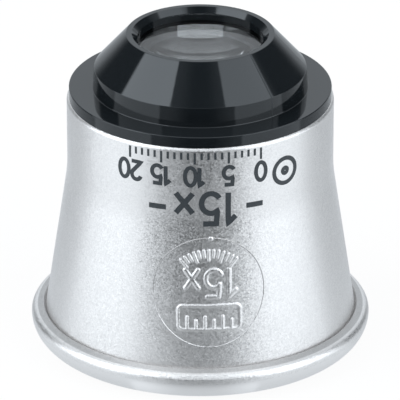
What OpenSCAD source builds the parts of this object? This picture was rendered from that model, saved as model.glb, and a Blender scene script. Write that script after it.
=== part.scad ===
// Watchmaker loupe, standing on its eye end with the lens mount on top.
// Millimetres, +Z along the optical axis, origin on the axis in the plane of the eye rim.

/* [Housing] */
// Largest diameter, over the rolled eye rim
rim_d = 35; // [32:0.5:42]
// Height of the housing, from the eye rim to the seat of the lens mount
housing_h = 26.6; // [24:0.1:36]
// Outer diameter of the straight collar
collar_d = 27.3; // [26:0.1:31]
// Height of the straight collar
collar_h = 7.9; // [7:0.1:11]
// Wall of the cone and of the collar
wall = 1.6; // [1.3:0.1:2]
// How far the rolled rim stands out from the foot of the cone
rim_overhang = 1.5; // [1.3:0.1:2.5]
// Radius under the rolled rim, which is also the height of its widest point
rim_round = 2.5; // [2:0.1:3]
// Radius over the rolled rim
rim_shoulder_r = 0.7; // [0.4:0.05:1]
// Slope of the rolled rim's upper face, in degrees
rim_slope = 22; // [15:1:30]
// Width and depth of the small groove between rolled rim and cone
rim_groove = 0.26; // [0.15:0.01:0.4]
// Radius of the blend between cone and collar
cone_blend_r = 15; // [2:1:25]
// Radius of the collar's upper edge
collar_edge_r = 0.4; // [0.1:0.05:0.6]

/* [Lens mount] */
// Thickness of the flange that seats on the collar
flange_t = 1.14; // [0.9:0.02:2]
// How far the flange's edge lies inside the collar's
flange_inset = 0.23; // [0.1:0.01:0.5]
// Diameter of the band at its foot, on the flange
band_d = 22; // [20:0.1:24]
// Height of the band
band_h = 2.04; // [1:0.02:4]
// How much narrower in radius the band is at its top
band_draft = 0.18; // [0:0.01:0.4]
// Height of the cone from the band to the tip of the nose
nose_h = 3.68; // [3:0.02:6]
// Width of the flat tip of the nose
nose_tip_w = 0.57; // [0.3:0.01:1]
// Depth of the front lens below the tip of the nose
nose_bore_h = 1.28; // [1:0.02:2]
// Chamfer around the bore in the tip of the nose
nose_chamfer = 0.54; // [0.2:0.02:0.8]
// Radius of the moulded edges that catch the light
mount_edge_r = 0.1; // [0.04:0.01:0.2]
// Length of the threaded skirt below the flange
skirt_h = 4.5; // [3.5:0.1:6]
// Wall of the threaded skirt
skirt_wall = 1.2; // [0.8:0.1:1.6]
// Wall of the lens barrel at its mouth
barrel_wall = 1.1; // [0.8:0.05:1.4]
// How far the moulding core between skirt and barrel reaches above the seat
core_rise = 1.2; // [0:0.1:1.6]

/* [Optics] */
// Diameter of both lenses
lens_d = 14; // [12:0.1:16]
// Thickness of a lens at its edge
lens_edge = 1.4; // [1:0.05:2]
// Radius of the curved face of a lens
lens_curve_r = 17; // [14:0.5:30]
// Width of the ground flat around the curved face
lens_land = 0.55; // [0.3:0.05:0.9]
// Width of the nose's seat on the front lens
lens_seat_w = 0.56; // [0.3:0.02:0.8]
// Distance between the two curved faces on the axis
vertex_gap = 1; // [0.6:0.1:3]
// Diameter of the stop inside the spacer ring
stop_d = 11; // [8:0.1:12]
// Thickness of the stop
stop_t = 0.4; // [0.2:0.05:0.6]
// Radial clearance of lenses and spacer ring in the barrel
lens_gap = 0.05; // [0.02:0.01:0.1]

/* [Retaining ring] */
// Thickness of the retaining ring
ring_h = 2.2; // [1.6:0.1:3]
// How far the retaining ring lies inside the mouth of the barrel
ring_recess = 0.6; // [0.6:0.1:1.5]
// Width of the ring's seat on the rear lens
ring_seat_w = 1; // [0.6:0.05:1.3]
// Widening of the ring's hole in radius, towards the eye
ring_flare = 0.3; // [0:0.05:0.4]
// Width of the two spanner slots
slot_w = 1.2; // [0.8:0.1:2]
// Depth of the two spanner slots
slot_h = 0.9; // [0.5:0.1:1.2]
// Material left between the spanner slots and the ring's thread
slot_wall = 0.4; // [0.2:0.05:0.6]

/* [Threads] */
// Pitch of the thread between housing and lens mount
mount_pitch = 1; // [0.9:0.05:1.2]
// Pitch of the retaining ring's thread
ring_pitch = 0.75; // [0.7:0.05:0.8]
// Height of a thread ridge, as a part of its pitch
thread_depth_ratio = 0.48; // [0.4:0.01:0.5]
// Radial clearance between thread crests and the wall opposite
thread_gap = 0.08; // [0.06:0.01:0.12]
// Clearance between thread flanks, measured along the axis
flank_gap = 0.08; // [0.06:0.01:0.1]
// Height of the plain register above the mount's thread
register_h = 0.8; // [0.5:0.1:1.2]
// Radial step from the housing's thread bore to the register
register_step = 0.22; // [0.15:0.01:0.4]
// Radial running clearance of the register
register_gap = 0.05; // [0.02:0.01:0.08]
// Chamfer at the start of a thread
thread_chamfer = 0.35; // [0.2:0.05:0.5]

/* [Hidden] */
$fn = 96;

// Steps in the arc of a small corner and of a corner over large_corner_r
corner_steps = 6;
large_corner_steps = 24;
large_corner_r = 1;
// Segments in a turn of thread
thread_segments = 48;
// Half the angle between the flanks of a thread ridge
flank_angle = 30;
// How deep a thread ridge is sunk into the wall that carries it
thread_root = 0.06;
// Overshoot of cutting tools
eps = 0.1;
silver = [0.78, 0.79, 0.80];
black = [0.06, 0.06, 0.07];
glass = [0.75, 0.85, 0.88, 0.4];

// Housing
rim_r = rim_d / 2;
collar_r = collar_d / 2;
foot_r = rim_r - rim_overhang;
eye_bore_r = foot_r - wall;
thread_bore_r = collar_r - wall;
register_r = thread_bore_r + register_step;
collar_foot_z = housing_h - collar_h;
eye_edge_r = 0.2;
// The upper face of the rim is tangent to the shoulder radius, which starts at the widest point
rim_corner_z = rim_round + rim_shoulder_r * tan((90 - rim_slope) / 2);
groove_lip_r = foot_r + rim_groove;
groove_lip_z = rim_corner_z + (rim_r - groove_lip_r) * tan(rim_slope);
foot_z = groove_lip_z - rim_groove;
groove_edge_r = 0.08;
bore_edge_r = 0.15;

// Lens mount
seat_z = housing_h;
flange_z = seat_z + flange_t;
band_z = flange_z + band_h;
nose_z = band_z + nose_h;
flange_r = collar_r - flange_inset;
band_r = band_d / 2;
lens_r = lens_d / 2;
nose_bore_r = lens_r - lens_seat_w;
nose_r = nose_bore_r + nose_chamfer + nose_tip_w;
lens_bore_r = lens_r + lens_gap;
front_seat_z = nose_z - nose_bore_h;
skirt_z = seat_z - skirt_h;

// Optics, stacked from the nose towards the eye
cap_r = lens_r - lens_land;
cap_h = lens_curve_r - sqrt(pow(lens_curve_r, 2) - pow(cap_r, 2));
spacer_h = 2 * cap_h + vertex_gap;
spacer_z = front_seat_z - lens_edge - spacer_h;
rear_seat_z = spacer_z - lens_edge;
ring_z = rear_seat_z - ring_h;
barrel_z = ring_z - ring_recess;
stop_bevel = 0.35;

// Threads
function ridge_h(pitch) = pitch * thread_depth_ratio;
// Crest width at which ridge and opposite ridge fill the pitch, less the flank clearance
function crest_w(pitch) = pitch / 2 - flank_gap - ridge_h(pitch) * tan(flank_angle);
function root_w(pitch) = crest_w(pitch) + 2 * ridge_h(pitch) * tan(flank_angle);
mount_core_r = thread_bore_r - ridge_h(mount_pitch) - thread_gap;
ring_crest_r = lens_bore_r + lens_gap;
ring_bore_r = ring_crest_r + ridge_h(ring_pitch);
ring_core_r = ring_crest_r - thread_gap;
barrel_r = ring_bore_r + barrel_wall;
skirt_bore_r = mount_core_r - skirt_wall;
mount_thread_z = skirt_z + thread_chamfer + root_w(mount_pitch) / 2;
mount_thread_h = seat_z - register_h - mount_thread_z - root_w(mount_pitch) / 2;
ring_thread_z = ring_z + root_w(ring_pitch) / 2;
ring_thread_h = ring_h - root_w(ring_pitch);
ring_relief = 0.15;

// Rounded outline: each point is [x, z, radius], and a corner with a radius becomes an arc
function unit(v) = v / norm(v);
function steps_for(r) = r > large_corner_r ? large_corner_steps : corner_steps;
function flat(v) = [v[0], v[1]];
function corner(a, b, c, steps) =
    let (
        u = unit(flat(a) - flat(b)),
        v = unit(flat(c) - flat(b)),
        half = acos(u * v) / 2,
        centre = flat(b) + unit(u + v) * b[2] / sin(half),
        start = flat(b) + u * b[2] / tan(half) - centre,
        end = flat(b) + v * b[2] / tan(half) - centre,
        from = atan2(start[1], start[0]),
        sweep = (atan2(end[1], end[0]) - from + 540) % 360 - 180
    )
    [for (i = [0:steps]) centre + b[2] * [cos(from + sweep * i / steps), sin(from + sweep * i / steps)]];
function rounded(path) = [
    for (i = [0:len(path) - 1])
        let (a = path[(i + len(path) - 1) % len(path)], b = path[i], c = path[(i + 1) % len(path)])
        each b[2] > 0 ? corner(a, b, c, steps_for(b[2])) : [flat(b)]
];

module turned(path) {
    rotate_extrude()
        polygon(rounded(path));
}

// Helical ridge on a wall of radius wall_r: it stands out for a screw and in for a nut
module thread_ridge(wall_r, pitch, start_z, length, inward = false) {
    side = inward ? -1 : 1;
    steps = floor(length / pitch * thread_segments);
    root = [wall_r - side * thread_root, root_w(pitch) / 2];
    crest = [wall_r + side * ridge_h(pitch), crest_w(pitch) / 2];
    section = [
        [root[0], -side * root[1]],
        [crest[0], -side * crest[1]],
        [crest[0], side * crest[1]],
        [root[0], side * root[1]]
    ];
    corners = len(section);
    points = [
        for (i = [0:steps], p = section)
            let (turn = i / thread_segments)
            [p[0] * cos(360 * turn), p[0] * sin(360 * turn), start_z + pitch * turn + p[1]]
    ];
    sides = [
        for (i = [0:steps - 1], k = [0:corners - 1])
            let (a = corners * i + k, b = corners * i + (k + 1) % corners)
            each [[a, b, a + corners], [b, b + corners, a + corners]]
    ];
    start_face = [for (k = [corners - 1:-1:0]) k];
    end_face = [for (k = [0:corners - 1]) corners * steps + k];
    polyhedron(points, concat(sides, [start_face, end_face]));
}

module housing() {
    color(silver) {
        turned([
            [eye_bore_r, 0, eye_edge_r],
            [rim_r, 0, rim_round],
            [rim_r, rim_corner_z, rim_shoulder_r],
            [groove_lip_r, groove_lip_z, groove_edge_r],
            [foot_r, foot_z, 0],
            [collar_r, collar_foot_z, cone_blend_r],
            [collar_r, seat_z, collar_edge_r],
            [register_r, seat_z, bore_edge_r],
            [register_r, seat_z - register_h, 0],
            [thread_bore_r, seat_z - register_h, 0],
            [thread_bore_r, collar_foot_z, 0],
            [eye_bore_r, foot_z, 0]
        ]);
        thread_ridge(thread_bore_r, mount_pitch, mount_thread_z + mount_pitch / 2,
            mount_thread_h - mount_pitch / 2, inward = true);
    }
}

module lens_mount() {
    color(black) {
        turned([
            [nose_bore_r + nose_chamfer, nose_z, 0],
            [nose_bore_r, nose_z - nose_chamfer, 0],
            [nose_bore_r, front_seat_z, 0],
            [lens_bore_r, front_seat_z, 0],
            [lens_bore_r, rear_seat_z + ring_relief, 0],
            [ring_bore_r, rear_seat_z + ring_relief, 0],
            [ring_bore_r, barrel_z, 0],
            [barrel_r, barrel_z, mount_edge_r],
            [barrel_r, seat_z + core_rise, 0],
            [skirt_bore_r, seat_z + core_rise, 0],
            [skirt_bore_r, skirt_z, 0],
            [mount_core_r - thread_chamfer, skirt_z, 0],
            [mount_core_r, skirt_z + thread_chamfer, 0],
            [mount_core_r, seat_z - register_h, 0],
            [register_r - register_gap, seat_z - register_h, 0],
            [register_r - register_gap, seat_z, 0],
            [flange_r, seat_z, 0],
            [flange_r, flange_z, mount_edge_r],
            [band_r, flange_z, mount_edge_r],
            [band_r - band_draft, band_z, mount_edge_r],
            [nose_r, nose_z, mount_edge_r]
        ]);
        thread_ridge(mount_core_r, mount_pitch, mount_thread_z, mount_thread_h);
        thread_ridge(ring_bore_r, ring_pitch, ring_thread_z - ring_pitch / 2,
            ring_thread_h + ring_pitch / 2, inward = true);
    }
}

// Plano-convex lens with its flat face in the plane z = 0 and its curved face below
module lens() {
    color(glass) {
        translate([0, 0, -lens_edge])
            cylinder(h = lens_edge, r = lens_r);
        intersection() {
            translate([0, 0, lens_curve_r - lens_edge - cap_h])
                sphere(r = lens_curve_r);
            translate([0, 0, -lens_edge - cap_h - eps])
                cylinder(h = cap_h + lens_edge + eps, r = cap_r);
        }
    }
}

module front_lens() {
    translate([0, 0, front_seat_z])
        lens();
}

module rear_lens() {
    translate([0, 0, rear_seat_z])
        mirror([0, 0, 1])
            lens();
}

module spacer_ring() {
    stop_mid_z = spacer_z + spacer_h / 2;
    color(black)
        turned([
            [cap_r, spacer_z, 0],
            [lens_r, spacer_z, 0],
            [lens_r, spacer_z + spacer_h, 0],
            [cap_r, spacer_z + spacer_h, 0],
            [cap_r, stop_mid_z + stop_t / 2, 0],
            [stop_d / 2 + stop_bevel, stop_mid_z + stop_t / 2, 0],
            [stop_d / 2, stop_mid_z, 0],
            [stop_d / 2 + stop_bevel, stop_mid_z - stop_t / 2, 0],
            [cap_r, stop_mid_z - stop_t / 2, 0]
        ]);
}

module retaining_ring() {
    ring_hole_r = lens_r - ring_seat_w;
    slot_reach = ring_core_r - slot_wall;
    color(black) {
        difference() {
            turned([
                [ring_hole_r, rear_seat_z, 0],
                [ring_hole_r + ring_flare, ring_z, mount_edge_r],
                [ring_core_r, ring_z, mount_edge_r],
                [ring_core_r, rear_seat_z, 0]
            ]);
            translate([-slot_reach, -slot_w / 2, ring_z - eps])
                cube([2 * slot_reach, slot_w, slot_h + eps]);
        }
        thread_ridge(ring_core_r, ring_pitch, ring_thread_z, ring_thread_h);
    }
}

housing();
lens_mount();
front_lens();
spacer_ring();
rear_lens();
retaining_ring();
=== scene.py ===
"""Watchmaker loupe: materials, moulded marking, print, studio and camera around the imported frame."""
import math
import bpy
import numpy as np
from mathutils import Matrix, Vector


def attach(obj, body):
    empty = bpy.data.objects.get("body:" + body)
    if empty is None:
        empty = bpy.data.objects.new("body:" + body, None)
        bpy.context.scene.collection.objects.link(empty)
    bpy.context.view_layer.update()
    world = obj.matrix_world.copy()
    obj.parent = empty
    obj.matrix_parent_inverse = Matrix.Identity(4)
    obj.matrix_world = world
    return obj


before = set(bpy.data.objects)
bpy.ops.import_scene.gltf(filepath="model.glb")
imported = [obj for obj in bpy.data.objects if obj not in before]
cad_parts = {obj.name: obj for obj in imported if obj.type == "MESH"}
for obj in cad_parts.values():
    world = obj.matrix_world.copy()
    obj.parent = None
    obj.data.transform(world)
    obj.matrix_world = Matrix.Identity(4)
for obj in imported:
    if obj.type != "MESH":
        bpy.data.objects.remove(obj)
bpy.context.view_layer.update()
scene = bpy.context.scene
MM = 0.001

# Camera, fitted to the photograph: angle above the horizon, distance, the point it looks at, focal length
# and width of the photograph in its pixels, width of the sensor, and how near and far it sees in m
CAMERA_ELEVATION = math.radians(24.65)
CAMERA_DISTANCE = 0.556
CAMERA_TARGET = Vector((-0.00003, 0, 0.01476))
FOCAL_PIXELS = 5396.6
PHOTO_PIXELS = 400
SENSOR_MM = 36
CLIP = (0.01, 10)

# Housing outside, as in the part's source, in mm
COLLAR_R = 13.65
COLLAR_FOOT_Z = 18.7
COLLAR_BLEND_R = 15
CONE_FOOT_R = 16.0
CONE_FOOT_Z = 3.213
CONE_SLOPE = math.atan2(CONE_FOOT_R - COLLAR_R, COLLAR_FOOT_Z - CONE_FOOT_Z)
BLEND_REACH = COLLAR_BLEND_R * math.tan(CONE_SLOPE / 2)

# Moulded disc on the housing: place in degrees and mm, radius, how far its face stands out, and in how many
# rings this is made
DISC_AZIMUTH = 3.45
DISC_Z = 11.255
DISC_R = 5.7
DISC_FACE = 0.018
DISC_RINGS = 109

# Edge of the disc: height and width of its lip, width of the wall round that, and how deep the wall ends
DISC_LIP = 0.042
DISC_LIP_W = 0.06
DISC_WALL_W = 0.01
DISC_ROOT = 0.05

# Marks on the disc: how far they stand out, and width of the bevel round them
RELIEF = 0.1
RELIEF_BEVEL = 0.25

# Moulded numerals: height, where their feet lie, half the stroke, and each glyph's centre and stretch
NUMERAL_H = 2.84
NUMERAL_FOOT = 2.37
NUMERAL_STROKE = 0.31
NUMERAL_PLACES = (("1", 2.4, 1.0), ("5", 0.44, 1.0), ("x", -1.74, 0.86))

# Moulded scale over the numerals: step in degrees, inner radii of the long and the short ticks and the outer
# radius of both, one long tick in how many, and half the stroke
TICK_COUNT = 13
TICK_STEP = 6.6
TICK_RADII = (3.4, 3.75, 4.45)
TICK_LONG_EVERY = 3
TICK_STROKE = 0.22

# Moulded rule under the numerals: outline, half the stroke, and height of its short and long divisions
RULE_HALF_W = 3.15
RULE_TOP = -1.4
RULE_FOOT = -3.9
RULE_CORNER = 0.45
RULE_STROKE = 0.24
RULE_DIVISIONS = 7
RULE_DIVISION_H = (0.95, 1.35)

# Moulded pip on the edge of the disc
PIP_AZIMUTH = 4.35
PIP_Z = 16.82
PIP_R = 0.26
PIP_H = 0.11

# Printed marks, in mm: how far the ink lies off the wall, the longest stretch that stays straight, and the
# least divisor of a mitred corner. Places round the collar are arc lengths from -Y
INK_LIFT = 0.012
INK_STEP = 0.25
INK_MITRE = 0.5

# Printed graduation with a numeral at each long tick
SCALE_ARC = (-7.4, 6.3)
SCALE_TOP_Z = 26.15
SCALE_TICKS = 21
SCALE_LONG_EVERY = 5
SCALE_TICK_H = 0.75
SCALE_LONG_H = 1.25
SCALE_STROKE = 0.24
SCALE_LABELS = ("20", "15", "10", "5", "0")
LABEL_Z = 23.56
LABEL_H = 1.95
LABEL_GAP = 0.34
LABEL_STROKE = 0.42

# Printed magnification, and where the bar at each side of it begins and ends
MARK_ARC = 0.62
MARK_Z = 20.05
MARK_H = 3.3
MARK_GAP = 0.85
MARK_STROKE = 0.56
BAR_ENDS = (4.1, 5.9)

# Printed ring with a dot
RING_ARC = 9.2
RING_Z = 22.95
RING_R = 1.35
DOT_R = 0.28
RING_STROKE = 0.46

# Silver paint: size of its flakes, how much they differ in tilt, shade and roughness, roughness, darkest
# and lightest colour, share of the lightest below and above the parting line, and the heights of this line
FLAKE_MM = 0.11
FLAKE_TILT = 0.075
FLAKE_SHADE = 0.35
FLAKE_ROUGH = 0.12
PAINT_ROUGH = 0.4
PAINT_DARK = (0.76, 0.745, 0.735, 1)
PAINT_LIGHT = (0.893, 0.875, 0.862, 1)
PAINT_SHARE = (0.75, 0.5)
PARTING_Z = (2.10, 2.20)

# Painted shade on the ledge on top of the rolled rim and at the foot of the cone above it: between which
# radii and heights in mm it begins and ends, and how dark it makes the paint
LEDGE_START = (15.93, 16.05)
LEDGE_END = (16.80, 16.95)
LEDGE_Z = (2.5, 2.7)
LEDGE_PAINTED_SHADE = (0.65, 0.65, 0.65, 1)

# Polished black: its constant values, roughness from its best to its worst patches, the size of these, and
# between which values of the noise one turns into the other
GLOSS = {"Base Color": (0.0077, 0.0097, 0.0112, 1), "Specular Tint": (0.97, 1.0, 1.02, 1)}
GLOSS_ROUGH = (0.055, 0.08)
GLOSS_PATCH_MM = 4
GLOSS_PATCH_EDGE = (0.35, 0.65)

# Flow line down one side of the black: azimuth from -Y and width in degrees, roughness, height of its foot
FLOW_AZIMUTH = 41.5
FLOW_WIDTH = 0.7
FLOW_ROUGH = 0.3
FLOW_FOOT_Z = 27.85

# Constant values of the plain materials
MATT = {"Base Color": (0.012, 0.012, 0.013, 1), "Roughness": 0.6}
INK = {"Base Color": (0.030, 0.036, 0.041, 1), "Roughness": 0.5}
GLASS = {"Base Color": (0.97, 0.99, 0.99, 1), "Roughness": 0, "IOR": 1.52, "Transmission Weight": 1}
FLOOR = {"Base Color": (0.9, 0.9, 0.9, 1), "Roughness": 0.8}
PURE_WHITE = (1, 1, 1, 1)

# Studio: radiance at heights above the horizon, in degrees, by side, what the dark front gains towards its
# sides and from which azimuth on, and the colour of the light
LEFT_BOX = ((-10, 1.55), (10, 2.1), (28, 2.2), (34, 3.1), (62, 3.5), (66, 0.9))
RIGHT_BOX = ((-10, 1.7), (10, 2.15), (28, 2.15), (34, 2.2), (62, 2.2), (66, 0.8))
DARK_FRONT = ((0, 0.0), (12, 0.1), (26, 0.65), (50, 1.05), (53, 0.05))
SIDE_GAPS = ((-10, 0.3), (6, 0.05), (34, 0.06), (48, 0.7), (80, 0.9))
BACKDROP = ((-8, 0.65), (8, 0.75), (20, 0.98), (50, 0.7), (58, 0.7), (61, 0.15))
FRONT_GLOW = 0.25
GLOW_START = 8
AIR_COLOUR = (0.935, 1.0, 1.06, 1)

# Where one side of the studio gives way to the next, in degrees from -Y: left to right, then, round a middle
# that lies a little to the side, dark front to boxes and boxes to gaps, and last gaps to backdrop
BOX_TURN = (-20, 20)
FRONT_SHIFT = -3.5
BOX_START = (39.5, 41.5)
BOX_END = (98, 101)
BACK_START = (134, 160)

# Panel overhead: its half-width and its front and back edge, as tangents of the angle from the
# zenith, the width of its soft border, its radiance in front and at the back, and its radiance in glass
PANEL_HALF_W = 0.435
PANEL_DEPTH = (-0.2, 0.425)
PANEL_EDGE = 0.03
PANEL = (1.9, 0.6)
PANEL_IN_GLASS = 5.2

# Backdrop as polished surfaces show it: where it begins at the sides and at the foot, where it
# ends at the top, in degrees, and its radiance
WHITE_SIDES = (143, 147)
WHITE_FOOT = (8, 12)
WHITE_TOP = (58, 60)
WHITE = ((26, 0.88), (32, 1.0))

# Table as polished surfaces show it: radiance at distances from the axis in m, by side, with painted shade
# under the cup
TABLE_FRONT = ((0.014, 0.02), (0.016, 0.7), (0.0185, 0.7), (0.0205, 0.34), (0.045, 0.46), (0.060, 0.2),
               (0.069, 0.0))
TABLE_BOX = ((0.014, 0.02), (0.016, 0.7), (0.0185, 0.78), (0.030, 0.92), (0.050, 1.08))
TABLE_GAP = ((0.014, 0.02), (0.016, 0.7), (0.030, 0.65), (0.060, 0.55))
TABLE_BACK = ((0.014, 0.02), (0.016, 0.7), (0.030, 0.65), (0.043, 0.95), (0.050, 0.95), (0.065, 0.62))

# How far before the axis these sides meet, in m, what the front gains towards its sides, and from where on
TABLE_APEX = 0.008
TABLE_GLOW = 0.35
CUP_EDGE = (0.014, 0.020)

# Table itself, in m: half its width, the gap under the rim, and how much plain white the camera sees in it
FLOOR_HALF_W = 2.0
FLOOR_GAP = 0.00002
FLOOR_WHITE = 0.92

# Guards a division by the length of a stroke
TINY = 1e-9


def make_camera():
    data = bpy.data.cameras.new("camera")
    data.sensor_width = SENSOR_MM
    data.lens = FOCAL_PIXELS / PHOTO_PIXELS * SENSOR_MM
    data.clip_start, data.clip_end = CLIP
    camera = bpy.data.objects.new("camera", data)
    scene.collection.objects.link(camera)
    back = Vector((0, -math.cos(CAMERA_ELEVATION), math.sin(CAMERA_ELEVATION)))
    camera.location = CAMERA_TARGET + back * CAMERA_DISTANCE
    camera.rotation_mode = "QUATERNION"
    camera.rotation_quaternion = (-back).to_track_quat("-Z", "Y")
    scene.camera = camera


# Surface of the housing

def housing_radius(z):
    """Outer radius of the housing at heights z, in mm, and the tilt of its normal."""
    z = np.asarray(z, float)
    top = COLLAR_FOOT_Z + BLEND_REACH
    low = COLLAR_FOOT_Z - BLEND_REACH * math.cos(CONE_SLOPE)
    cone = COLLAR_R + (COLLAR_FOOT_Z - z) * math.tan(CONE_SLOPE)
    inside = np.clip((top - z) / COLLAR_BLEND_R, 0, math.sin(CONE_SLOPE))
    blend = COLLAR_R + COLLAR_BLEND_R * (1 - np.sqrt(1 - inside ** 2))
    radius = np.where(z >= top, COLLAR_R, np.where(z <= low, cone, blend))
    tilt = np.where(z >= top, 0, np.where(z <= low, CONE_SLOPE, np.arcsin(inside)))
    return radius, tilt


def on_housing(azimuth, z, lift):
    """Points in metres at azimuths (radians from -Y) and heights z (mm), lifted off the wall."""
    radius, tilt = housing_radius(z)
    out = radius + lift * np.cos(tilt)
    return np.stack([np.sin(azimuth) * out, -np.cos(azimuth) * out, z + lift * np.sin(tilt)], -1) * MM


def add_mesh(name, points, faces, material, body, smooth):
    mesh = bpy.data.meshes.new(name)
    mesh.from_pydata([tuple(p) for p in points], [], faces)
    mesh.polygons.foreach_set("use_smooth", np.broadcast_to(smooth, len(mesh.polygons)).tolist())
    mesh.materials.append(material)
    mesh.update()
    piece = bpy.data.objects.new(name, mesh)
    scene.collection.objects.link(piece)
    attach(piece, body)


# Strokes: polylines in mm, x to the right and y up as seen by someone facing the mark

def arc(cx, cy, rx, ry, start, end, count=24):
    angles = np.radians(np.linspace(start, end, count))
    return [(cx + rx * math.cos(a), cy + ry * math.sin(a)) for a in angles]


def glyph(character, h):
    """Strokes of a numeral or of the times sign of height h, its foot on y = 0, and its width.

    All places are shares of the height.
    """
    if character == "1":
        return [[(0.03 * h, 0.78 * h), (0.27 * h, h), (0.27 * h, 0)]], 0.28 * h
    if character == "5":
        bowl = arc(0.26 * h, 0.33 * h, 0.29 * h, 0.33 * h, 122, -150)
        return [[(0.50 * h, h), (0.10 * h, h), (0.06 * h, 0.54 * h)] + bowl], 0.56 * h
    if character == "2":
        head = arc(0.27 * h, 0.72 * h, 0.26 * h, 0.28 * h, 165, -35, count=18)
        return [head + [(0, 0), (0.54 * h, 0)]], 0.54 * h
    if character == "0":
        return [arc(0.28 * h, 0.5 * h, 0.28 * h, 0.5 * h, 90, 450, count=40)], 0.56 * h
    return [[(0, 0), (0.52 * h, 0.66 * h)], [(0, 0.66 * h), (0.52 * h, 0)]], 0.52 * h


def word(text, height, gap):
    """Strokes of a run of glyphs centred on the origin."""
    strokes, x = [], 0
    for character in text:
        lines, width = glyph(character, height)
        strokes += [[(px + x, py) for px, py in line] for line in lines]
        x += width + gap
    shift = (x - gap) / 2
    return [[(px - shift, py - height / 2) for px, py in line] for line in strokes]


def placed(strokes, x, y):
    """Strokes turned upside down, as all the marks are, and moved to a place."""
    return [[(x - px, y - py) for px, py in line] for line in strokes]


def stroke_distance(x, y, strokes):
    """Distance from points to the nearest stroke."""
    best = np.full(x.shape, np.inf)
    for line in strokes:
        for (ax, ay), (bx, by) in zip(line, line[1:]):
            dx, dy = bx - ax, by - ay
            along = np.clip(((x - ax) * dx + (y - ay) * dy) / max(dx * dx + dy * dy, TINY), 0, 1)
            best = np.minimum(best, np.hypot(x - ax - along * dx, y - ay - along * dy))
    return best


# Moulded disc

def ridge(distance, half_width):
    """0 to 1 across a bevelled stroke: flat on top, smooth at the foot."""
    t = np.clip((half_width - distance) / RELIEF_BEVEL, 0, 1)
    return t * t * (3 - 2 * t)


def moulded_numerals():
    strokes = []
    for character, centre, stretch in NUMERAL_PLACES:
        lines, width = glyph(character, NUMERAL_H)
        middle = width / 2
        lines = [[((px - middle) * stretch, py) for px, py in line] for line in lines]
        strokes += placed(lines, centre, NUMERAL_FOOT)
    return strokes


def moulded_ticks():
    strokes = []
    long_r, short_r, outer_r = TICK_RADII
    for i in range(TICK_COUNT):
        angle = math.radians(90 + (i - TICK_COUNT // 2) * TICK_STEP)
        inner_r = short_r if i % TICK_LONG_EVERY else long_r
        strokes.append([(r * math.cos(angle), r * math.sin(angle)) for r in (inner_r, outer_r)])
    return strokes


def moulded_rule():
    """Outline of a short rule with its divisions."""
    w, c = RULE_HALF_W, RULE_CORNER
    corners = ((w - c, RULE_TOP - c, 90), (w - c, RULE_FOOT + c, 0),
               (-w + c, RULE_FOOT + c, -90), (-w + c, RULE_TOP - c, -180))
    outline = [p for x, y, start in corners for p in arc(x, y, c, c, start, start - 90, count=6)]
    strokes = [outline + outline[:1]]
    for i in range(1, RULE_DIVISIONS):
        x = w * (2 * i / RULE_DIVISIONS - 1)
        strokes.append([(x, RULE_FOOT), (x, RULE_FOOT + RULE_DIVISION_H[i % 2])])
    return strokes


def disc_height(x, y):
    """0 to 1, the height of the moulded marks at places on the disc."""
    numerals = ridge(stroke_distance(x, y, moulded_numerals()), NUMERAL_STROKE)
    ticks = ridge(stroke_distance(x, y, moulded_ticks()), TICK_STROKE)
    rule = ridge(stroke_distance(x, y, moulded_rule()), RULE_STROKE)
    return np.maximum(np.maximum(numerals, ticks), rule)


def disc_rings():
    """Radius and lift of each ring: the face, the lip round it, and a wall that ends in the housing."""
    face = np.linspace(0, DISC_R, DISC_RINGS + 1)
    radii = np.append(face, [DISC_R + DISC_LIP_W, DISC_R + DISC_LIP_W + DISC_WALL_W])
    lifts = np.append(np.full(len(face), DISC_FACE), [DISC_FACE + DISC_LIP, -DISC_ROOT])
    return radii, lifts


def make_disc(material):
    """Square grid drawn out to rings: a disc with a fine lip round it."""
    radii, lifts = disc_rings()
    count = len(radii) - 1
    index = np.arange(-count, count + 1)
    a, b = np.meshgrid(index, index)
    ring = np.maximum(abs(a), abs(b))
    wide = abs(a) > abs(b)
    share = np.where(wide, b, a) / np.where(ring > 0, np.where(wide, a, b), 1)
    angle = np.where(wide, share, 2 - share) * math.pi / 4
    sign = np.where(np.where(wide, a, b) < 0, -1, 1)
    x, y = sign * radii[ring] * np.cos(angle), sign * radii[ring] * np.sin(angle)
    lift = lifts[ring] + RELIEF * disc_height(x, y)
    z = DISC_Z + y * math.cos(CONE_SLOPE)
    radius = housing_radius(z)[0]
    points = on_housing(math.radians(DISC_AZIMUTH) + x / radius, z, lift).reshape(-1, 3)
    side = 2 * count
    corner = [i * (side + 1) + j for i in range(side) for j in range(side)]
    faces = [(k, k + 1, k + side + 2, k + side + 1) for k in corner]
    last = side * (side + 1)
    border = [*range(side), *range(side, last, side + 1),
              *range(last + side, last, -1), *range(last, 0, -side - 1)]
    faces.append(tuple(reversed(border)))
    outer = np.maximum(np.maximum(ring[1:, 1:], ring[:-1, :-1]), np.maximum(ring[1:, :-1], ring[:-1, 1:]))
    smooth = np.append(outer.ravel() <= DISC_RINGS, False)
    add_mesh("moulded_disc", points, faces, material, "eyecup", smooth)


def make_pip(material):
    """Small dome, closed behind."""
    rings, steps = 8, 24
    points, faces = [], []
    for i in range(rings + 1):
        angle = math.pi / 2 * i / rings
        r, lift = PIP_R * math.sin(angle), PIP_H * math.cos(angle)
        turn = np.linspace(0, 2 * math.pi, steps, endpoint=False)
        azimuth = math.radians(PIP_AZIMUTH) + r * np.cos(turn) / COLLAR_R
        points.extend(on_housing(azimuth, PIP_Z + r * np.sin(turn), np.full(steps, lift)))
    for i in range(rings):
        for j in range(steps):
            k = (j + 1) % steps
            faces.append((i * steps + j, (i + 1) * steps + j, (i + 1) * steps + k, i * steps + k))
    faces.append(tuple(range(steps)))
    add_mesh("moulded_pip", points, faces, material, "eyecup", True)


# Print

def left_of(steps):
    """Steps turned a quarter to the left."""
    return np.stack([-steps[:, 1], steps[:, 0]], -1)


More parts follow.
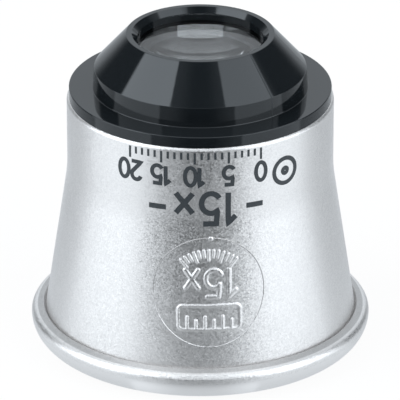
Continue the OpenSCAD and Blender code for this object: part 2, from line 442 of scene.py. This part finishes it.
def ribbon(line, width):
    """Left and right points along a stroke of constant width."""
    fine = [line[0]]
    for (ax, ay), (bx, by) in zip(line, line[1:]):
        count = max(1, math.ceil(math.hypot(bx - ax, by - ay) / INK_STEP))
        fine += [(ax + (bx - ax) * i / count, ay + (by - ay) * i / count) for i in range(1, count + 1)]
    p = np.array(fine)
    step = np.diff(p, axis=0)
    step /= np.linalg.norm(step, axis=1)[:, None]
    before = np.vstack([step[:1], step])
    after = np.vstack([step, step[-1:]])
    closed = np.allclose(p[0], p[-1])
    if closed:
        before[0], after[-1] = step[-1], step[0]
    mid = left_of(before) + left_of(after)
    mid /= np.sum(mid * left_of(after), axis=1)[:, None].clip(INK_MITRE)
    return p + mid * width / 2, p - mid * width / 2


def make_print(name, strokes, width, material):
    """Strokes given as arc length round the collar and height z, both in mm."""
    points, faces = [], []
    for line in strokes:
        left, right = ribbon(line, width)
        start = len(points)
        for pair in zip(left, right):
            points.extend(pair)
        for i in range(len(left) - 1):
            a = start + 2 * i
            faces.append((a, a + 1, a + 3, a + 2))
    flat = np.array(points)
    world = on_housing(flat[:, 0] / COLLAR_R, flat[:, 1], INK_LIFT)
    add_mesh(name, world, faces, material, "eyecup", False)


def make_scale(material):
    """Graduation under the flange with a numeral at each long tick."""
    low, high = SCALE_ARC
    ticks, labels = [], []
    for i in range(SCALE_TICKS):
        x = low + (high - low) * i / (SCALE_TICKS - 1)
        number, rest = divmod(i, SCALE_LONG_EVERY)
        ticks.append([(x, SCALE_TOP_Z), (x, SCALE_TOP_Z - (SCALE_TICK_H if rest else SCALE_LONG_H))])
        if not rest:
            labels += placed(word(SCALE_LABELS[number], LABEL_H, LABEL_GAP), x, LABEL_Z)
    make_print("print_ticks", ticks, SCALE_STROKE, material)
    make_print("print_labels", labels, LABEL_STROKE, material)


def make_magnification(material):
    strokes = placed(word("15x", MARK_H, MARK_GAP), MARK_ARC, MARK_Z)
    make_print("print_numerals", strokes, MARK_STROKE, material)
    bars = [[(MARK_ARC + side * end, MARK_Z) for end in BAR_ENDS] for side in (-1, 1)]
    make_print("print_bars", bars, MARK_STROKE, material)


def make_ring_mark(material):
    ring = arc(RING_ARC, RING_Z, RING_R, RING_R, 0, 360, count=49)
    dot = arc(RING_ARC, RING_Z, DOT_R, DOT_R, 0, 360, count=25)
    make_print("print_ring", [ring, dot], RING_STROKE, material)


# Nodes

def feed(tree, socket, value):
    """Link an output to a socket, or set the socket to a constant."""
    if isinstance(value, bpy.types.NodeSocket):
        tree.links.new(value, socket)
    else:
        socket.default_value = value


def add_node(tree, kind, inputs=(), output=0, **settings):
    """Output of a new node, whose inputs are given in order or by name."""
    node = tree.nodes.new(kind)
    for setting, value in settings.items():
        setattr(node, setting, value)
    for key, value in (inputs.items() if isinstance(inputs, dict) else enumerate(inputs)):
        feed(tree, node.inputs[key], value)
    return node.outputs[output]


def math_node(tree, operation, *values):
    return add_node(tree, "ShaderNodeMath", values, operation=operation)


def vector_node(tree, operation, *values):
    return add_node(tree, "ShaderNodeVectorMath", values, operation=operation)


def product(tree, first, *others):
    for other in others:
        first = math_node(tree, "MULTIPLY", first, other)
    return first


def xyz(tree, vector):
    outputs = add_node(tree, "ShaderNodeSeparateXYZ", (vector,)).node.outputs
    return outputs["X"], outputs["Y"], outputs["Z"]


def ramp(tree, value, low, high, start, end, smooth=True):
    """From start to end while value goes from low to high, and level outside."""
    return add_node(tree, "ShaderNodeMapRange", (value, low, high, start, end),
                    interpolation_type="SMOOTHSTEP" if smooth else "LINEAR")


def ramp_mm(tree, value, ends, start, end):
    """From start to end between two places given in mm."""
    return ramp(tree, value, ends[0] * MM, ends[1] * MM, start, end)


def levels(tree, value, stops):
    """Straight stretches between stops of (value, level)."""
    total = stops[0][1]
    for (low, start), (high, end) in zip(stops, stops[1:]):
        total = math_node(tree, "ADD", total, ramp(tree, value, low, high, 0, end - start, smooth=False))
    return total


def azimuth_at(tree, x, y, apex=0):
    """Angle in degrees round a point that lies apex before the axis, 0 towards -Y and + towards +X."""
    towards = math_node(tree, "SUBTRACT", -apex, y)
    return math_node(tree, "DEGREES", math_node(tree, "ARCTAN2", x, towards))


def mix_colour(tree, blend, share, first, second):
    return add_node(tree, "ShaderNodeMix", {"Factor": share, "A": first, "B": second}, "Result",
                    data_type="RGBA", blend_type=blend)


def mix_shader(tree, share, first, second):
    return add_node(tree, "ShaderNodeMixShader", (share, first, second))


def emitter(tree, kind, colour, strength):
    return add_node(tree, kind, {"Color": colour, "Strength": strength})


# Materials

def new_material(name, constants):
    """Material whose shader has these constant values."""
    material = bpy.data.materials.new(name)
    material.use_nodes = True
    for key, value in constants.items():
        shader_of(material).inputs[key].default_value = value
    return material


def shader_of(material):
    return material.node_tree.nodes["Principled BSDF"]


def ledge_shade_mask(tree, x, y, z):
    """1 where shade is painted: on the ledge of the rolled rim and the foot of the cone above it, 0
    elsewhere.
    """
    squares = math_node(tree, "ADD", product(tree, x, x), product(tree, y, y))
    reach = math_node(tree, "SQRT", squares)
    return product(tree, ramp_mm(tree, reach, LEDGE_START, 0, 1), ramp_mm(tree, reach, LEDGE_END, 1, 0),
                   ramp_mm(tree, z, LEDGE_Z, 0, 1))


def silver_paint():
    """Metallic paint with fine flakes, and without them below the parting line, with painted shade on the
    rim's ledge.

    Each flake has three random numbers from -1 to 1, for its tilt, its shade and its roughness.
    """
    material = new_material("silver_paint", {"Metallic": 1})
    tree, inputs = material.node_tree, shader_of(material).inputs
    place = add_node(tree, "ShaderNodeTexCoord", output="Object")
    x, y, z = xyz(tree, place)
    above = ramp_mm(tree, z, PARTING_Z, 0, 1)
    cells = {"Vector": place, "Scale": 1 / (FLAKE_MM * MM)}
    flake = add_node(tree, "ShaderNodeTexVoronoi", cells, "Color")
    flake = vector_node(tree, "MULTIPLY_ADD", flake, (2, 2, 2), (-1, -1, -1))
    tilt = add_node(tree, "ShaderNodeVectorMath", {0: flake, "Scale": product(tree, above, FLAKE_TILT)},
                    operation="SCALE")
    normal = add_node(tree, "ShaderNodeNewGeometry", output="Normal")
    feed(tree, inputs["Normal"], vector_node(tree, "NORMALIZE", vector_node(tree, "ADD", normal, tilt)))
    shade, scatter, _ = xyz(tree, flake)
    shade = product(tree, shade, above, FLAKE_SHADE)
    share = math_node(tree, "ADD", ramp(tree, above, 0, 1, *PAINT_SHARE), shade)
    colour = mix_colour(tree, "MIX", share, PAINT_DARK, PAINT_LIGHT)
    # Painted shade: the base colour is darkened on the ledge of the rolled rim and at the foot of the cone
    # above it
    with_painted_shade = mix_colour(tree, "MULTIPLY", ledge_shade_mask(tree, x, y, z), colour, LEDGE_PAINTED_SHADE)
    feed(tree, inputs["Base Color"], with_painted_shade)
    scatter = product(tree, scatter, above, FLAKE_ROUGH)
    feed(tree, inputs["Roughness"], math_node(tree, "ADD", scatter, PAINT_ROUGH))
    return material


def black_gloss():
    """Polished black, with the fine flow line that moulding leaves down one side."""
    material = new_material("black_gloss", GLOSS)
    tree = material.node_tree
    place = add_node(tree, "ShaderNodeTexCoord", output="Object")
    x, y, z = xyz(tree, place)
    aside = math_node(tree, "SUBTRACT", azimuth_at(tree, x, y), FLOW_AZIMUTH)
    line = ramp(tree, math_node(tree, "ABSOLUTE", aside), FLOW_WIDTH / 2, FLOW_WIDTH, 1, 0)
    line = product(tree, line, math_node(tree, "GREATER_THAN", z, FLOW_FOOT_Z * MM))
    patches = {"Vector": place, "Scale": 1 / (GLOSS_PATCH_MM * MM)}
    wander = add_node(tree, "ShaderNodeTexNoise", patches, "Fac")
    polish = ramp(tree, wander, *GLOSS_PATCH_EDGE, *GLOSS_ROUGH)
    feed(tree, shader_of(material).inputs["Roughness"], ramp(tree, line, 0, 1, polish, FLOW_ROUGH))
    return material


def dress(node, material):
    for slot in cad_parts[node].material_slots:
        slot.material = material


# Studio

def by_side(tree, azimuth, front, box, gap, back):
    """The value of the side that an azimuth lies on, and a soft turn from each to the next."""
    away = math_node(tree, "ABSOLUTE", azimuth)
    from_front = math_node(tree, "ABSOLUTE", math_node(tree, "SUBTRACT", azimuth, FRONT_SHIFT))
    box_part = ramp(tree, from_front, *BOX_START, front, box)
    gap_part = ramp(tree, from_front, *BOX_END, box_part, gap)
    return ramp(tree, away, *BACK_START, gap_part, back)


def side_glow(tree, azimuth, strength):
    """What the dark front gains from its middle to its sides."""
    return ramp(tree, math_node(tree, "ABSOLUTE", azimuth), GLOW_START, BOX_START[0], 0, strength)


def from_polish(tree, rays):
    """1 for rays that come off gloss or through glass, 0 for others."""
    return math_node(tree, "MAXIMUM", rays["Is Glossy Ray"], rays["Is Transmission Ray"])


def overhead_panel(tree, across, along, z):
    """1 for directions that lead to the panel, 0 elsewhere, with a soft border."""
    front, back = PANEL_DEPTH
    across = math_node(tree, "ABSOLUTE", across)
    return product(tree, ramp(tree, across, PANEL_HALF_W - PANEL_EDGE, PANEL_HALF_W, 1, 0),
                   ramp(tree, along, front, front + PANEL_EDGE, 0, 1),
                   ramp(tree, along, back - PANEL_EDGE, back, 1, 0),
                   math_node(tree, "GREATER_THAN", z, 0))


def make_world():
    """White to the camera, and a studio of boxes, gaps, backdrop and panel to all other rays."""
    world = bpy.data.worlds.new("studio")
    world.use_nodes = True
    scene.world = world
    tree = world.node_tree
    tree.nodes.clear()
    rays = add_node(tree, "ShaderNodeLightPath").node.outputs
    x, y, z = xyz(tree, add_node(tree, "ShaderNodeTexCoord", output="Generated"))
    azimuth = azimuth_at(tree, x, y)
    height = math_node(tree, "DEGREES", math_node(tree, "ARCSINE", z))
    boxes = ramp(tree, azimuth, *BOX_TURN, levels(tree, height, LEFT_BOX), levels(tree, height, RIGHT_BOX))
    front = math_node(tree, "ADD", levels(tree, height, DARK_FRONT), side_glow(tree, azimuth, FRONT_GLOW))
    gaps, back = levels(tree, height, SIDE_GAPS), levels(tree, height, BACKDROP)
    around = by_side(tree, azimuth, front, boxes, gaps, back)
    across, along = math_node(tree, "DIVIDE", x, z), math_node(tree, "DIVIDE", y, z)
    panel = ramp(tree, along, *PANEL_DEPTH, *PANEL)
    panel = ramp(tree, rays["Is Transmission Ray"], 0, 1, panel, PANEL_IN_GLASS)
    lit = ramp(tree, overhead_panel(tree, across, along, z), 0, 1, around, panel)
    away = math_node(tree, "ABSOLUTE", azimuth)
    backdrop = product(tree, ramp(tree, away, *WHITE_SIDES, 0, 1), ramp(tree, height, *WHITE_FOOT, 0, 1),
                       ramp(tree, height, *WHITE_TOP, 1, 0), from_polish(tree, rays))
    strength = ramp(tree, backdrop, 0, 1, lit, levels(tree, height, WHITE))
    room = emitter(tree, "ShaderNodeBackground", AIR_COLOUR, strength)
    white = emitter(tree, "ShaderNodeBackground", PURE_WHITE, 1)
    out = tree.nodes.new("ShaderNodeOutputWorld")
    feed(tree, out.inputs["Surface"], mix_shader(tree, rays["Is Camera Ray"], room, white))


def make_floor():
    """Table: pale and shadowed to the camera, lit by side to polished surfaces, clear from below."""
    w, z = FLOOR_HALF_W, -FLOOR_GAP
    mesh = bpy.data.meshes.new("floor")
    mesh.from_pydata([(-w, -w, z), (w, -w, z), (w, w, z), (-w, w, z)], [], [(0, 1, 2, 3)])
    floor = bpy.data.objects.new("floor", mesh)
    scene.collection.objects.link(floor)
    material = new_material("floor", FLOOR)
    tree = material.node_tree
    plain = shader_of(material).outputs[0]
    rays = add_node(tree, "ShaderNodeLightPath").node.outputs
    surface = add_node(tree, "ShaderNodeNewGeometry").node.outputs
    x, y, _ = xyz(tree, surface["Position"])
    reach = add_node(tree, "ShaderNodeVectorMath", (surface["Position"],), "Value", operation="LENGTH")
    azimuth = azimuth_at(tree, x, y, TABLE_APEX)
    sides = (TABLE_FRONT, TABLE_BOX, TABLE_GAP, TABLE_BACK)
    front, *others = [levels(tree, reach, stops) for stops in sides]
    glow = product(tree, side_glow(tree, azimuth, TABLE_GLOW), ramp(tree, reach, *CUP_EDGE, 0, 1))
    front = math_node(tree, "ADD", front, glow)
    table = emitter(tree, "ShaderNodeEmission", AIR_COLOUR, by_side(tree, azimuth, front, *others))
    white = mix_shader(tree, FLOOR_WHITE, plain, emitter(tree, "ShaderNodeEmission", PURE_WHITE, 1))
    seen = mix_shader(tree, rays["Is Camera Ray"], plain, white)
    seen = mix_shader(tree, from_polish(tree, rays), seen, table)
    clear = add_node(tree, "ShaderNodeBsdfTransparent")
    seen = mix_shader(tree, surface["Backfacing"], seen, clear)
    feed(tree, tree.nodes["Material Output"].inputs["Surface"], seen)
    material.cycles.emission_sampling = "NONE"
    floor.data.materials.append(material)


make_camera()
paint = silver_paint()
matt = new_material("black_matt", MATT)
glass = new_material("lens_glass", GLASS)
dress("housing", paint)
dress("lens_mount", black_gloss())
dress("retaining_ring", matt)
dress("spacer_ring", matt)
dress("front_lens", glass)
dress("rear_lens", glass)
make_disc(paint)
make_pip(paint)
print_ink = new_material("print_ink", INK)
make_scale(print_ink)
make_magnification(print_ink)
make_ring_mark(print_ink)
make_world()
make_floor()
scene.view_settings.view_transform = "Standard"
